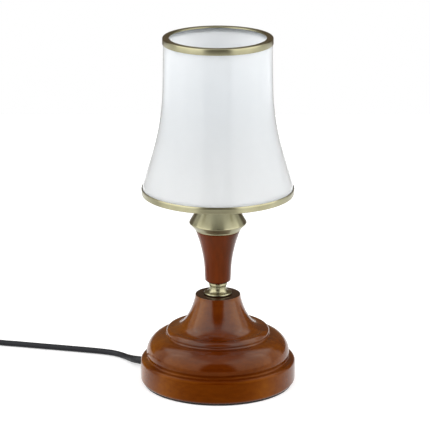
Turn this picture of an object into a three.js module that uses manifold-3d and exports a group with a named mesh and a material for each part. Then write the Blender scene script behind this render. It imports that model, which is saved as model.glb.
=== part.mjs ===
// Antique table lamp: an open, flared glass shade on a turned wooden stem and base.
// Lengths are in millimetres and +Z is up. The origin is the middle of the pad that the lamp stands on.
// The lamp is screwed together on one threaded pipe. Its mains cord leaves the base low at one side and
// ends in a plug, with a rocker switch on the way and its spare length wound into a tied coil.

import * as THREE from 'three';
import * as BufferGeometryUtils from 'three/addons/utils/BufferGeometryUtils.js';
import Module from 'manifold-3d';

const wasm = await Module();
wasm.setup();

// Clearance between neighbours, and how far cutters run past what they cut
const seatGap = 0.3;
const cutOverrun = 1;

// Pad and turned base
const padRadius = 71.8;
const padThickness = 1.5;
const drumRadius = 74.5;
const drumHeight = 22.4;
const drumEdgeRadius = 3.3;
const grooveRadius = 68;
const grooveHeight = 2.2;
const torusRadius = 68.7;
const torusBellyRise = 3.6;
const torusHeight = 21.4;
const beadRadius = 49.7;
const beadHeight = 7.4;
const beadEdgeRadius = 4;
const coneFootRadius = 43.5;
const coneHeight = 33.2;
const discRadius = 21.6;
const coneFlarePower = 0.6;
const coneHollowPower = 1.42;
const cavityRadius = 52;
const cavityHeight = 32;

// Threaded pipe and what clamps on it
const pipeRadius = 5;
const pipeBoreRadius = 4;
const pipeProtrusion = 3;
const ballastThickness = 11;
const lowerWasherRadius = 11;
const lowerWasherThickness = 1.5;
const lowerNutRadius = 9.8;
const lowerNutThickness = 5;
const upperWasherRadius = 10;
const upperWasherThickness = 1.2;
const upperNutRadius = 8;
const upperNutThickness = 4;
const nutSides = 6;

// Brass neck, wooden stem and brass cup
const neckHeight = 11.2;
const neckFootRadius = 13.4;
const neckFootThickness = 2;
const neckWaistRadius = 8;
const neckHeadRadius = 8.8;
const neckHeadThickness = 2.2;
const stemHeight = 52.1;
const stemTopRadius = 21.4;
const stemWaistRadius = 12.35;
const stemSwellPower = 2.05;
const stemChamferHeight = 2.4;
const stemChamferWidth = 3.2;
const cupFootRadius = 21.9;
const cupRadius = 27.4;
const cupTopRadius = 18.2;
const cupLowerHeight = 6.7;
const cupEdgeHeight = 0.8;
const cupUpperHeight = 15.8;
const cupWall = 0.9;

// Lampholder and the ring nut on it
const holderRise = 6.5;
const holderCapRadius = 14.2;
const holderCapHeight = 20.5;
const holderCapWall = 1.3;
const holderCapEdge = 3;
const holderBossRadius = 8;
const holderBossHeight = 8;
const sleeveRadius = 13.9;
const sleeveWall = 1.5;
const sleeveHeight = 27.5;
const sleeveLipWidth = 2;
const sleeveLipThickness = 1.5;
const flangeRadius = 17;
const flangeThickness = 2.5;
const insulatorHeight = 20;
const insulatorFloor = 3;
const screwShellWall = 0.5;
const screwShellHeight = 14;
const screwShellRise = 2.4;
const contactRadius = 2.6;
const contactHeight = 2;
const threadClearance = 0.45;
const shadeNutRadius = 20.6;
const shadeNutHeight = 4.5;

// Bulb
const bulbCapRadius = 6.95;
const bulbCapHeight = 17;
const bulbCapTaper = 4;
const bulbTipRadius = 2.4;
const bulbTipHeight = 1.4;
const bulbGlassRadius = 17.5;
const bulbGlassHeight = 80;
const bulbGlassWall = 0.9;
const bulbBellyShare = 0.4;
const bulbShoulderPower = 1.4;
const bulbTipPower = 0.8;

// Shade, its rings and the spider that carries it
const spiderThickness = 1.2;
const spiderRingRadius = 20.6;
const spiderArmWidth = 7;
const spiderArmCount = 3;
const spiderFirstArmAngle = Math.PI / 2;
const glassBottomRadius = 71.8;
const glassTopRadius = 51.4;
const glassHeight = 146.3;
const glassThickness = 3;
const glassFlarePower = 1.35;
const glassHollowPower = 4.3;
const ringSheet = 0.8;
const bottomRingHeight = 6.5;
const bottomRingBandHeight = 3.1;
const bottomRingStep = 1;
const bottomRingStepHeight = 0.5;
const bottomRingPocketDepth = 2.3;
const bottomRingLedgeWidth = 5.1;
const bottomRingLipWidth = 2.6;
const topRingSheet = 0.5;
const topRingHeight = 6;
const topRingWidth = 6.5;
const topRingLipHeight = 1.2;
const topRingEdge = 0.9;

// Mains cord, its gland and what is inside the base
const cordDiameter = 5.8;
const cordLength = 1800;
const glandAngle = THREE.MathUtils.degToRad(152);
const glandHeight = 6.2;
const glandWall = 0.9;
const glandCollarRadius = 5.4;
const glandCollarThickness = 2;
const glandNoseLength = 8.2;
const glandNoseWall = 0.5;
const gripLength = 6;
const gripWidth = 14;
const leadInnerEnd = 30;
const wireDiameter = 2.2;
const wireOffset = 1.6;
const wireBendRadius = 6;

// Inline switch
const switchLength = 62;
const switchWidth = 27;
const switchEndWidth = 15;
const switchShoulderLength = 36;
const switchEndRound = 3;
const switchHalfHeight = 8;
const switchFloor = 2;
const switchPocketLength = 34;
const switchPocketWidth = 20;
const switchCordHeight = 7;
const rockerLength = 18.8;
const rockerWidth = 9.4;
const rockerPlay = 0.4;
const rockerTilt = THREE.MathUtils.degToRad(8.5);
const rockerPivotDepth = 4.1;
const rockerCrown = 3;
const rockerDepth = 3.2;
const rockerFootShare = 0.85;
const rockerPinRadius = 1;
const rockerPinLength = 17;
const terminalLength = 8;
const terminalWidth = 5;
const terminalHeight = 4.4;
const terminalSpacing = 24;
const switchScrewRadius = 1.2;
const switchScrewHeadRadius = 2.5;
const switchScrewHeadHeight = 1.4;
const switchScrewLength = 12;
const switchScrewOffsetX = 21.5;
const switchScrewOffsetY = 7.5;

// Wound coil and its tie
const coilTurns = 6.5;
const coilLayers = 4;
const coilPitch = 6.3;
const coilClimbTurns = 0.5;
const coilCentreX = -378;
const tieThickness = 0.8;
const tieWidth = 7;
const tieCornerRadius = 4;

// Mains plug
const plugRearX = -312;
const plugThickness = 13.7;
const plugWidth = 35.3;
const plugLength = 52;
const plugSleeveLength = 18;
const plugSleeveRadius = 5.8;
const plugSleeveWall = 1.4;
const plugShoulderLength = 20;
const plugBevel = 2;
const plugPinRadius = 2;
const plugPinLength = 19;
const plugPinSpacing = 18.6;
const plugPinSeat = 8;

// How finely round shapes are cut
const largeSegments = 36;
const mediumSegments = 24;
const smallSegments = 12;
const cordSides = 8;
const cordStepDiameters = 2;
const leastCordSteps = 6;
const wireSides = 6;
const wireSteps = 24;
const coilSides = 6;
const coilStepsPerTurn = 24;

// The free stretches of the cord, chosen point by point: gland to switch, switch to coil, coil to plug
const switchEntry = [-250, 106.5];
const cordToSwitchRoute = [
  [-79.2, 42.6, 5.9],
  [-82.9, 46.6, 5.0],
  [-88.6, 55.2, 3.9],
  [-94.6, 63.6, 3.2],
  [-100.8, 69.3, 3.0],
  [-106.9, 72.8, 3.0],
  [-113.0, 75.2, 3.0],
  [-125.1, 78.9, 3.0],
  [-140.0, 82.9, 3.0],
  [-157.5, 87.4, 3.0],
  [-180.0, 93.1, 3.0],
  [-200.0, 98.3, 3.0],
  [-218.8, 102.8, 3.1],
  [-231.0, 105.3, 4.1],
  [-240.0, 106.3, 5.9],
];
const switchToCoilRoute = [
  [-323.0, 106.5, 6.6],
  [-336.0, 106.5, 5.4],
  [-350.0, 106.5, 4.2],
  [-362.0, 106.5, 4.0],
];
const coilToPlugRoute = [
  [-361.0, 27.1, 21.6],
  [-349.0, 27.1, 17.6],
  [-336.0, 27.1, 11.4],
  [-324.0, 27.1, 7.8],
];

// Materials, with the colours that the photograph shows
const finishes = {
  wood: { color: 0x7a3a1c, roughness: 0.22, metalness: 0 },
  brass: { color: 0xa99f78, roughness: 0.3, metalness: 1 },
  opalGlass: { color: 0xe9eef0, roughness: 0.08, metalness: 0 },
  frostedGlass: { color: 0xf4f1e8, roughness: 0.35, metalness: 0 },
  steel: { color: 0xb9bcc0, roughness: 0.35, metalness: 1 },
  castIron: { color: 0x3c3d40, roughness: 0.7, metalness: 0.6 },
  felt: { color: 0x241f1c, roughness: 0.95, metalness: 0 },
  blackPlastic: { color: 0x1c1d20, roughness: 0.4, metalness: 0 },
  cordSheath: { color: 0x2b2d31, roughness: 0.5, metalness: 0 },
  whitePlastic: { color: 0xe8e6df, roughness: 0.3, metalness: 0 },
  brownWire: { color: 0x5a3420, roughness: 0.45, metalness: 0 },
  blueWire: { color: 0x2f5f9e, roughness: 0.45, metalness: 0 },
  tieStrap: { color: 0x17181a, roughness: 0.6, metalness: 0 },
};

// A named mesh with a material of its own, at a place in its parent
function piece(name, geometry, finish, x = 0, y = 0, z = 0) {
  const mesh = new THREE.Mesh(geometry, new THREE.MeshStandardMaterial(finishes[finish]));
  mesh.name = name;
  mesh.position.set(x, y, z);
  return mesh;
}

// One welded, closed skin: shared corners are merged and triangles without area are dropped
function welded(geometry) {
  const bare = geometry.clone();
  bare.deleteAttribute('normal');
  bare.deleteAttribute('uv');
  const merged = BufferGeometryUtils.mergeVertices(bare);
  const corners = merged.index.array;
  const kept = [];
  for (let i = 0; i < corners.length; i += 3) {
    const [a, b, c] = [corners[i], corners[i + 1], corners[i + 2]];
    if (a !== b && b !== c && c !== a) kept.push(a, b, c);
  }
  merged.setIndex(kept);
  return merged;
}

function solidOf(geometry) {
  const skin = welded(geometry);
  return new wasm.Manifold(new wasm.Mesh({
    numProp: 3,
    vertProperties: new Float32Array(skin.attributes.position.array),
    triVerts: new Uint32Array(skin.index.array),
  }));
}

function geometryOf(solid) {
  const mesh = solid.getMesh();
  const geometry = new THREE.BufferGeometry();
  geometry.setAttribute('position', new THREE.BufferAttribute(new Float32Array(mesh.vertProperties), 3));
  geometry.setIndex(Array.from(mesh.triVerts));
  return geometry;
}

function cutFrom(geometry, cutters) {
  return geometryOf(cutters.reduce((rest, cutter) => rest.subtract(solidOf(cutter)), solidOf(geometry)));
}

// Even shares from 0 to 1, both ends included
function evenShares(steps) {
  return Array.from({ length: steps + 1 }, (_, i) => i / steps);
}

// Points on part of an ellipse, from one angle to another in degrees, both ends included
function arc(centreRadius, centreHeight, radiusAcross, radiusUp, from, to, steps) {
  return evenShares(steps).map((share) => {
    const angle = THREE.MathUtils.degToRad(THREE.MathUtils.lerp(from, to, share));
    return [centreRadius + radiusAcross * Math.cos(angle), centreHeight + radiusUp * Math.sin(angle)];
  });
}

function regularPolygon(radius, sides) {
  return evenShares(sides).slice(1).map((share) => {
    const angle = share * 2 * Math.PI;
    return new THREE.Vector2(radius * Math.cos(angle), radius * Math.sin(angle));
  });
}

// A solid turned about +Z from an outline of [radius, height] points that runs counter-clockwise:
// up the outside and down the inside, or back along the axis
function turned(outline, segments) {
  const points = [...outline, outline[0]].map(([radius, height]) => new THREE.Vector2(radius, height));
  return welded(new THREE.LatheGeometry(points, segments).rotateX(Math.PI / 2));
}

function turnedRing(outer, inner, height, segments) {
  return turned([[inner, 0], [outer, 0], [outer, height], [inner, height]], segments);
}

function turnedAlongX(outline, segments) {
  return turned(outline, segments).rotateY(Math.PI / 2);
}

function rodAlongX(radius, fromX, toX) {
  return turnedAlongX([[0, fromX], [radius, fromX], [radius, toX], [0, toX]], smallSegments);
}

function slab(shape, depth) {
  return new THREE.ExtrudeGeometry(shape, {
    depth, bevelEnabled: false, curveSegments: mediumSegments / 2,
  });
}

function hexagonalNut(radius, boreRadius, thickness) {
  const shape = new THREE.Shape(regularPolygon(radius, nutSides));
  shape.holes.push(new THREE.Path().absarc(0, 0, boreRadius, 0, 2 * Math.PI));
  return slab(shape, thickness);
}

function roundTube(curve, radius, sides, steps) {
  const section = new THREE.Shape(regularPolygon(radius, sides));
  return new THREE.ExtrudeGeometry(section, { extrudePath: curve, steps });
}

// Radii that several pieces share
const pipeHoleRadius = pipeRadius + seatGap;
const holderHoleRadius = sleeveRadius + seatGap;
const cordRadius = cordDiameter / 2;
const cordHoleRadius = cordRadius + seatGap;
const glandBodyRadius = cordHoleRadius + glandWall;

// Heights of the stack, from the table up
const baseZ = padThickness + seatGap;
const torusZ = drumHeight + grooveHeight;
const beadZ = torusZ + torusHeight;
const coneZ = beadZ + beadHeight;
const baseHeight = coneZ + coneHeight;
const neckZ = baseZ + baseHeight + seatGap;
const stemZ = neckZ + neckHeight + seatGap;
const cupZ = stemZ + stemHeight + seatGap;
const upperWasherZ = cupZ + cupWall + seatGap;
const upperNutZ = upperWasherZ + upperWasherThickness + seatGap;
const holderCapZ = upperNutZ + upperNutThickness + holderRise;
const sleeveZ = holderCapZ + holderCapHeight + seatGap;
const insulatorZ = sleeveZ + sleeveLipThickness + seatGap;
const spiderZ = sleeveZ + flangeThickness + seatGap;
const shadeNutZ = spiderZ + spiderThickness + seatGap;
const bottomRingZ = spiderZ - seatGap - ringSheet;
const glassZ = bottomRingZ + bottomRingHeight - bottomRingPocketDepth + seatGap;
const topRingZ = glassZ + glassHeight + seatGap + topRingSheet - topRingHeight;

// Heights of what the nut pulls up inside the base, from the cavity's roof down
const ballastZ = baseZ + cavityHeight - seatGap - ballastThickness;
const lowerWasherZ = ballastZ - seatGap - lowerWasherThickness;
const lowerNutZ = lowerWasherZ - seatGap - lowerNutThickness;
const pipeZ = lowerNutZ - pipeProtrusion;
const pipeTopZ = holderCapZ + holderBossHeight;

// Pad and base

function pad() {
  const outline = [[0, 0], [padRadius, 0], [padRadius, padThickness], [0, padThickness]];
  return piece('felt_pad', turned(outline, largeSegments), 'felt');
}

// The outside runs from the foot over drum, groove, torus and bead to the hollow cone and its flat top
function baseOutline() {
  const edgeCentre = drumRadius - drumEdgeRadius;
  const bellyZ = torusZ + torusBellyRise;
  const torusWidth = torusRadius - beadRadius - beadEdgeRadius / 4;
  const beadCentre = beadRadius - beadEdgeRadius;
  const cone = evenShares(9).map((share) => [
    discRadius + (coneFootRadius - discRadius) * (1 - share ** coneFlarePower) ** coneHollowPower,
    coneZ + coneHeight * share,
  ]);
  return [
    [cavityRadius, 0],
    [edgeCentre + drumEdgeRadius / 2, 0],
    ...arc(edgeCentre, drumEdgeRadius, drumEdgeRadius, drumEdgeRadius, -50, 0, 2),
    ...arc(edgeCentre, drumHeight - drumEdgeRadius, drumEdgeRadius, drumEdgeRadius, 0, 90, 4),
    [grooveRadius, drumHeight + grooveHeight / 4],
    [grooveRadius, torusZ],
    ...arc(torusRadius - torusWidth, bellyZ, torusWidth, torusBellyRise, -30, 0, 1),
    ...arc(torusRadius - torusWidth, bellyZ, torusWidth, torusHeight - torusBellyRise, 0, 90, 8).slice(1),
    [beadRadius, beadZ + beadEdgeRadius / 4],
    ...arc(beadCentre, coneZ - beadEdgeRadius, beadEdgeRadius, beadEdgeRadius, 0, 75, 4),
    ...cone,
    [pipeHoleRadius, baseHeight],
    [pipeHoleRadius, cavityHeight],
    [cavityRadius, cavityHeight],
  ];
}

// The cord leaves through a notch in the drum that is open below
function baseBody() {
  const reach = drumRadius - cavityRadius + 2 * cutOverrun;
  const middle = (drumRadius + cavityRadius) / 2;
  const notchRadius = glandBodyRadius + seatGap;
  const axisHeight = glandHeight - baseZ;
  const slotHeight = axisHeight + cutOverrun;
  const round = rodAlongX(notchRadius, middle - reach / 2, middle + reach / 2)
    .translate(0, 0, axisHeight).rotateZ(glandAngle);
  const slot = new THREE.BoxGeometry(reach, 2 * notchRadius, slotHeight)
    .translate(middle, 0, axisHeight - slotHeight / 2).rotateZ(glandAngle);
  const body = cutFrom(turned(baseOutline(), largeSegments), [round, slot]);
  return piece('base_body', body, 'wood', 0, 0, baseZ);
}

// Ballast, pipe, washers and nuts

function clampedStack() {
  const ballast = turnedRing(cavityRadius - seatGap, pipeHoleRadius, ballastThickness, largeSegments);
  const pipe = turnedRing(pipeRadius, pipeBoreRadius, pipeTopZ - pipeZ, smallSegments);
  const lowerWasher = turnedRing(lowerWasherRadius, pipeHoleRadius, lowerWasherThickness, mediumSegments);
  const lowerNut = hexagonalNut(lowerNutRadius, pipeHoleRadius, lowerNutThickness);
  const upperWasher = turnedRing(upperWasherRadius, pipeHoleRadius, upperWasherThickness, mediumSegments);
  const upperNut = hexagonalNut(upperNutRadius, pipeHoleRadius, upperNutThickness);
  return [
    piece('ballast_disc', ballast, 'castIron', 0, 0, ballastZ),
    piece('lamp_pipe', pipe, 'steel', 0, 0, pipeZ),
    piece('lower_washer', lowerWasher, 'steel', 0, 0, lowerWasherZ),
    piece('lower_nut', lowerNut, 'steel', 0, 0, lowerNutZ),
    piece('upper_washer', upperWasher, 'steel', 0, 0, upperWasherZ),
    piece('upper_nut', upperNut, 'steel', 0, 0, upperNutZ),
  ];
}

// Neck, stem and cup

// A round-edged foot, a hollow waist and a short head
function neck() {
  const footEdge = neckFootThickness / 2;
  const headZ = neckHeight - neckHeadThickness;
  const waistRise = (headZ - neckFootThickness) / 2;
  const waistZ = neckFootThickness + waistRise;
  const coveRise = waistRise / 2;
  const outline = [
    [pipeHoleRadius, 0],
    ...arc(neckFootRadius - footEdge, footEdge, footEdge, footEdge, -90, 60, 4),
    ...arc(neckFootRadius, waistZ, neckFootRadius - neckWaistRadius, waistRise, 235, 180, 4),
    ...arc(neckHeadRadius, headZ - coveRise, neckHeadRadius - neckWaistRadius, coveRise, 180, 90, 3),
    [neckHeadRadius, neckHeight],
    [pipeHoleRadius, neckHeight],
  ];
  return piece('neck', turned(outline, mediumSegments), 'brass', 0, 0, neckZ);
}

// A chamfered foot from which the stem swells in one hollow sweep up to the cup
function stem() {
  const swell = evenShares(10).map((share) => [
    stemWaistRadius + (stemTopRadius - stemWaistRadius) * share ** stemSwellPower,
    stemChamferHeight + (stemHeight - stemChamferHeight) * share,
  ]);
  const outline = [
    [pipeHoleRadius, 0],
    [stemWaistRadius - stemChamferWidth, 0],
    ...swell,
    [pipeHoleRadius, stemHeight],
  ];
  return piece('stem', turned(outline, mediumSegments), 'wood', 0, 0, stemZ);
}

// Two spun cones with a narrow edge between them, on a flat floor that the nut clamps
function cup() {
  const edgeZ = cupLowerHeight + cupEdgeHeight;
  const topZ = edgeZ + cupUpperHeight;
  const levelWall = cupWall * Math.hypot(1, (cupRadius - cupFootRadius) / cupLowerHeight);
  const outline = [
    [pipeHoleRadius, 0],
    [cupFootRadius, 0],
    [cupRadius, cupLowerHeight],
    [cupRadius, edgeZ],
    [cupTopRadius, topZ],
    [cupTopRadius - cupWall, topZ],
    [cupRadius - levelWall, edgeZ],
    [cupRadius - levelWall, cupLowerHeight],
    [cupFootRadius - levelWall / 2, cupWall],
    [pipeHoleRadius, cupWall],
  ];
  return piece('cup', turned(outline, mediumSegments), 'brass', 0, 0, cupZ);
}

// Lampholder

const screwShellBoreRadius = bulbCapRadius + threadClearance;
const screwShellRadius = screwShellBoreRadius + screwShellWall;
const sleeveBoreRadius = sleeveRadius - sleeveWall;

function holderCap() {
  const boreRadius = holderCapRadius - holderCapWall;
  const outline = [
    [pipeHoleRadius, 0],
    ...arc(holderCapRadius - holderCapEdge, holderCapEdge, holderCapEdge, holderCapEdge, -90, 0, 3),
    [holderCapRadius, holderCapHeight],
    [boreRadius, holderCapHeight],
    [boreRadius, holderCapEdge],
    [boreRadius - holderCapWall, holderCapWall],
    [holderBossRadius, holderCapWall],
    [holderBossRadius, holderBossHeight],
    [pipeHoleRadius, holderBossHeight],
  ];
  return piece('lampholder_cap', turned(outline, mediumSegments), 'whitePlastic', 0, 0, holderCapZ);
}

// The threaded sleeve has a flange that carries the spider, and a lip inside under the insulator
function holderSleeve() {
  const outline = [
    [sleeveBoreRadius - sleeveLipWidth, 0],
    [flangeRadius, 0],
    [flangeRadius, flangeThickness],
    [sleeveRadius, flangeThickness],
    [sleeveRadius, sleeveHeight],
    [sleeveBoreRadius, sleeveHeight],
    [sleeveBoreRadius, sleeveLipThickness],
    [sleeveBoreRadius - sleeveLipWidth, sleeveLipThickness],
  ];
  return piece('lampholder_sleeve', turned(outline, mediumSegments), 'whitePlastic', 0, 0, sleeveZ);
}

function holderInside() {
  const insulatorRadius = sleeveBoreRadius - seatGap;
  const pocketRadius = screwShellRadius + seatGap;
  const floorZ = insulatorZ + insulatorFloor;
  const insulator = turned([
    [0, 0],
    [insulatorRadius, 0],
    [insulatorRadius, insulatorHeight],
    [pocketRadius, insulatorHeight],
    [pocketRadius, insulatorFloor],
    [0, insulatorFloor],
  ], mediumSegments);
  const shell = turnedRing(screwShellRadius, screwShellBoreRadius, screwShellHeight, mediumSegments);
  const contact = turned([
    [0, 0],
    [contactRadius, 0],
    [contactRadius, contactHeight / 2],
    [contactRadius / 2, contactHeight],
    [0, contactHeight],
  ], smallSegments);
  return [
    piece('lampholder_insulator', insulator, 'whitePlastic', 0, 0, insulatorZ),
    piece('lampholder_screw_shell', shell, 'brass', 0, 0, floorZ + screwShellRise),
    piece('lampholder_contact', contact, 'brass', 0, 0, floorZ + seatGap),
  ];
}

// Bulb, standing on the lampholder's contact

const bulbTipZ = insulatorZ + insulatorFloor + seatGap + contactHeight + seatGap;
const bulbCapZ = bulbTipZ + bulbTipHeight + seatGap;
const bulbGlassZ = bulbCapZ + bulbCapHeight + seatGap;

function bulbMetal() {
  const tip = turned([
    [0, 0],
    [bulbTipRadius / 2, 0],
    [bulbTipRadius, bulbTipHeight / 2],
    [bulbTipRadius, bulbTipHeight],
    [0, bulbTipHeight],
  ], smallSegments);
  const cap = turned([
    [0, 0],
    [bulbTipRadius + bulbCapTaper / 4, 0],
    [bulbCapRadius, bulbCapTaper],
    [bulbCapRadius, bulbCapHeight],
    [0, bulbCapHeight],
  ], mediumSegments);
  return [
    piece('bulb_tip_contact', tip, 'steel', 0, 0, bulbTipZ),
    piece('bulb_cap', cap, 'steel', 0, 0, bulbCapZ),
  ];
}

// A candle shape: it widens from the cap to the belly and narrows in a long curve to the tip
function bulbGlass() {
  const neckRadius = bulbCapRadius - bulbGlassWall;
  const bellyZ = bulbGlassHeight * bulbBellyShare;
  const shoulder = evenShares(4).map((share) => [
    neckRadius + (bulbGlassRadius - neckRadius) * Math.sin((share * Math.PI) / 2) ** bulbShoulderPower,
    bellyZ * share,
  ]);
  const tip = evenShares(6).slice(1).map((share) => [
    bulbGlassRadius * (1 - share ** 2) ** bulbTipPower,
    bellyZ + (bulbGlassHeight - bellyZ) * share,
  ]);
  const outside = [...shoulder, ...tip];
  const inside = outside.slice(0, -1).reverse().map(([radius, height]) => [radius - bulbGlassWall, height]);
  const innerTip = [0, bulbGlassHeight - 2 * bulbGlassWall];
  const glass = turned([...outside, innerTip, ...inside], mediumSegments);
  return piece('bulb_glass', glass, 'frostedGlass', 0, 0, bulbGlassZ);
}

// Shade, its two rings, the spider and the nut that holds it

const beadBoreRadius = glassBottomRadius + seatGap;
const beadOuterRadius = beadBoreRadius + ringSheet;
const bandRadius = beadOuterRadius - bottomRingStep;
const bandBoreRadius = bandRadius - ringSheet;

function shadeNut() {
  const nut = turnedRing(shadeNutRadius, holderHoleRadius, shadeNutHeight, mediumSegments);
  return piece('shade_nut', nut, 'whitePlastic', 0, 0, shadeNutZ);
}

// A flat centre ring with arms whose ends lie on the rolled-in lip of the shade's bottom ring
function spider() {
  const halfWidth = spiderArmWidth / 2;
  const tip = Math.sqrt((bandBoreRadius - 2 * seatGap) ** 2 - halfWidth ** 2);
  const root = Math.sqrt(spiderRingRadius ** 2 - halfWidth ** 2);
  const armTurn = (2 * Math.PI) / spiderArmCount;
  const halfRootTurn = Math.asin(halfWidth / spiderRingRadius);
  const outline = evenShares(spiderArmCount).slice(1).flatMap((armShare) => {
    const angle = spiderFirstArmAngle + armShare * 2 * Math.PI;
    const arm = [[root, -halfWidth], [tip, -halfWidth], [tip, halfWidth], [root, halfWidth]]
      .map(([along, across]) => new THREE.Vector2(along, across).rotateAround(new THREE.Vector2(), angle));
    const rim = evenShares(8).slice(1, -1).map((share) => {
      const rimAngle = angle + THREE.MathUtils.lerp(halfRootTurn, armTurn - halfRootTurn, share);
      return new THREE.Vector2(spiderRingRadius * Math.cos(rimAngle), spiderRingRadius * Math.sin(rimAngle));
    });
    return [...arm, ...rim];
  });
  const shape = new THREE.Shape(outline);
  shape.holes.push(new THREE.Path().absarc(0, 0, holderHoleRadius, 0, 2 * Math.PI));
  return piece('shade_spider', slab(shape, spiderThickness), 'brass', 0, 0, spiderZ);
}

// A bead round the foot of the glass, a ledge under it, a straight band below and a lip rolled in
function bottomRing() {
  const pocketZ = bottomRingHeight - bottomRingPocketDepth;
  const ledgeRadius = beadBoreRadius - bottomRingLedgeWidth;
  const lipRadius = bandBoreRadius - bottomRingLipWidth;
  const outline = [
    [lipRadius, 0],
    [bandRadius - ringSheet / 2, 0],
    [bandRadius, ringSheet / 2],
    [bandRadius, bottomRingBandHeight],
    [beadOuterRadius, bottomRingBandHeight + bottomRingStepHeight],
    [beadOuterRadius, bottomRingHeight - ringSheet / 2],
    [beadOuterRadius - ringSheet / 2, bottomRingHeight],
    [beadBoreRadius, bottomRingHeight],
    [beadBoreRadius, pocketZ],
    [ledgeRadius, pocketZ],
    [ledgeRadius, pocketZ - ringSheet],
    [bandBoreRadius, pocketZ - ringSheet],
    [bandBoreRadius, ringSheet],
    [lipRadius, ringSheet],
  ];
  return piece('shade_bottom_ring', turned(outline, largeSegments), 'brass', 0, 0, bottomRingZ);
}

// The wall flares from the nearly straight upper part down to the foot
function shadeGlass() {
  const wall = evenShares(12).map((share) => {
    const flare = (1 - share ** glassFlarePower) ** glassHollowPower;
    return [THREE.MathUtils.lerp(glassTopRadius, glassBottomRadius, flare), glassHeight * share];
  });
  const inside = wall.toReversed().map(([radius, height]) => [radius - glassThickness, height]);
  return piece('shade_glass', turned([...wall, ...inside], largeSegments), 'opalGlass', 0, 0, glassZ);
}

// A cap over the top edge of the glass, with a rounded outer rim and a lip turned down inside
function topRing() {
  const wallBoreRadius = glassTopRadius + seatGap;
  const outerRadius = wallBoreRadius + topRingSheet;
  const lipRadius = outerRadius - topRingWidth;
  const lipOuterRadius = lipRadius + topRingSheet;
  const lipZ = topRingHeight - topRingLipHeight;
  const underTop = topRingHeight - topRingSheet;
  const outline = [
    [wallBoreRadius, 0],
    [outerRadius, 0],
    ...arc(outerRadius - topRingEdge, topRingHeight - topRingEdge, topRingEdge, topRingEdge, 0, 90, 3),
    [lipOuterRadius, topRingHeight],
    [lipRadius, underTop],
    [lipRadius, lipZ],
    [lipOuterRadius, lipZ],
    [lipOuterRadius, underTop],
    [wallBoreRadius, underTop],
  ];
  return piece('shade_top_ring', turned(outline, largeSegments), 'brass', 0, 0, topRingZ);
}

// Gland, grip, lead and wires, in a group whose +X points out through the notch in the base

const glandInnerX = cavityRadius - cutOverrun;
const collarX = drumRadius + seatGap;
const glandOuterX = collarX + glandCollarThickness + glandNoseLength;

function gland() {
  const collarEndX = collarX + glandCollarThickness;
  const outline = [
    [cordHoleRadius, glandInnerX],
    [glandBodyRadius, glandInnerX],
    [glandBodyRadius, collarX],
    [glandCollarRadius, collarX],
    [glandCollarRadius, collarEndX - glandCollarThickness / 4],
    [glandBodyRadius + glandWall / 2, collarEndX],
    [cordHoleRadius + glandNoseWall, glandOuterX],
    [cordHoleRadius, glandOuterX],
  ];
  return piece('cord_gland', turnedAlongX(outline, smallSegments), 'blackPlastic', 0, 0, glandHeight);
}

function grip() {
  const endX = glandInnerX - seatGap;
  const startX = endX - gripLength;
  const block = new THREE.BoxGeometry(gripLength, gripWidth, 2 * glandBodyRadius)
    .translate((startX + endX) / 2, 0, 0);
  const bore = rodAlongX(cordHoleRadius, startX - cutOverrun, endX + cutOverrun);
  return piece('cord_grip', cutFrom(block, [bore]), 'blackPlastic', 0, 0, glandHeight);
}

function lead() {
  const rod = rodAlongX(cordRadius, leadInnerEnd, glandOuterX);
  return piece('lead_in_base', rod, 'cordSheath', 0, 0, glandHeight);
}

// Each wire runs to the axis, bends up with a quarter circle and rises inside the pipe
function wire(name, side, finish) {
  const y = side * wireOffset;
  const bend = evenShares(4).map((share) => {
    const angle = (share * Math.PI) / 2;
    return new THREE.Vector3(
      wireBendRadius * (1 - Math.sin(angle)), y, glandHeight + wireBendRadius * (1 - Math.cos(angle)));
  });
  const curve = new THREE.CatmullRomCurve3([
    new THREE.Vector3(leadInnerEnd - seatGap, y, glandHeight),
    new THREE.Vector3((leadInnerEnd + wireBendRadius) / 2, y, glandHeight),
    ...bend,
    new THREE.Vector3(0, y, (pipeZ + pipeTopZ) / 2),
    new THREE.Vector3(0, y, insulatorZ - seatGap),
  ], false, 'centripetal');
  return piece(name, roundTube(curve, wireDiameter / 2, wireSides, wireSteps), finish);
}

function cordEntry() {
  const entry = new THREE.Group();
  entry.rotation.z = glandAngle;
  entry.add(gland(), grip(), lead(), wire('wire_live', 1, 'brownWire'), wire('wire_neutral', -1, 'blueWire'));
  return entry;
}

// Inline switch, in a group with +X along the cord and the middle of its underside at the origin

const coverZ = switchHalfHeight + seatGap;
const pivotZ = coverZ + switchHalfHeight - rockerPivotDepth;
const wellDepth = switchHalfHeight - switchFloor;
const switchScrewPlaces = [
  [switchScrewOffsetX, switchScrewOffsetY],
  [-switchScrewOffsetX, -switchScrewOffsetY],
];

// Both ends of the housing are narrower than its middle, with rounded corners
function switchHalf() {
  const [end, shoulder] = [switchLength / 2, switchShoulderLength / 2];
  const [wide, narrow] = [switchWidth / 2, switchEndWidth / 2];
  const round = switchEndRound;
  const shape = new THREE.Shape();
  shape.moveTo(end, -narrow + round);
  for (const side of [1, -1]) {
    shape.lineTo(side * end, side * (narrow - round));
    shape.quadraticCurveTo(side * end, side * narrow, side * (end - round), side * narrow);
    shape.quadraticCurveTo(side * (shoulder + round), side * wide, side * shoulder, side * wide);
    shape.lineTo(-side * shoulder, side * wide);
    shape.quadraticCurveTo(-side * (shoulder + round), side * wide, -side * (end - round), side * narrow);
    shape.quadraticCurveTo(-side * end, side * narrow, -side * end, side * (narrow - round));
  }
  return new THREE.ExtrudeGeometry(shape, {
    depth: switchHalfHeight, bevelEnabled: false, curveSegments: 3,
  });
}

function boxBetween(length, width, fromZ, toZ) {
  return new THREE.BoxGeometry(length, width, toZ - fromZ).translate(0, 0, (fromZ + toZ) / 2);
}

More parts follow.
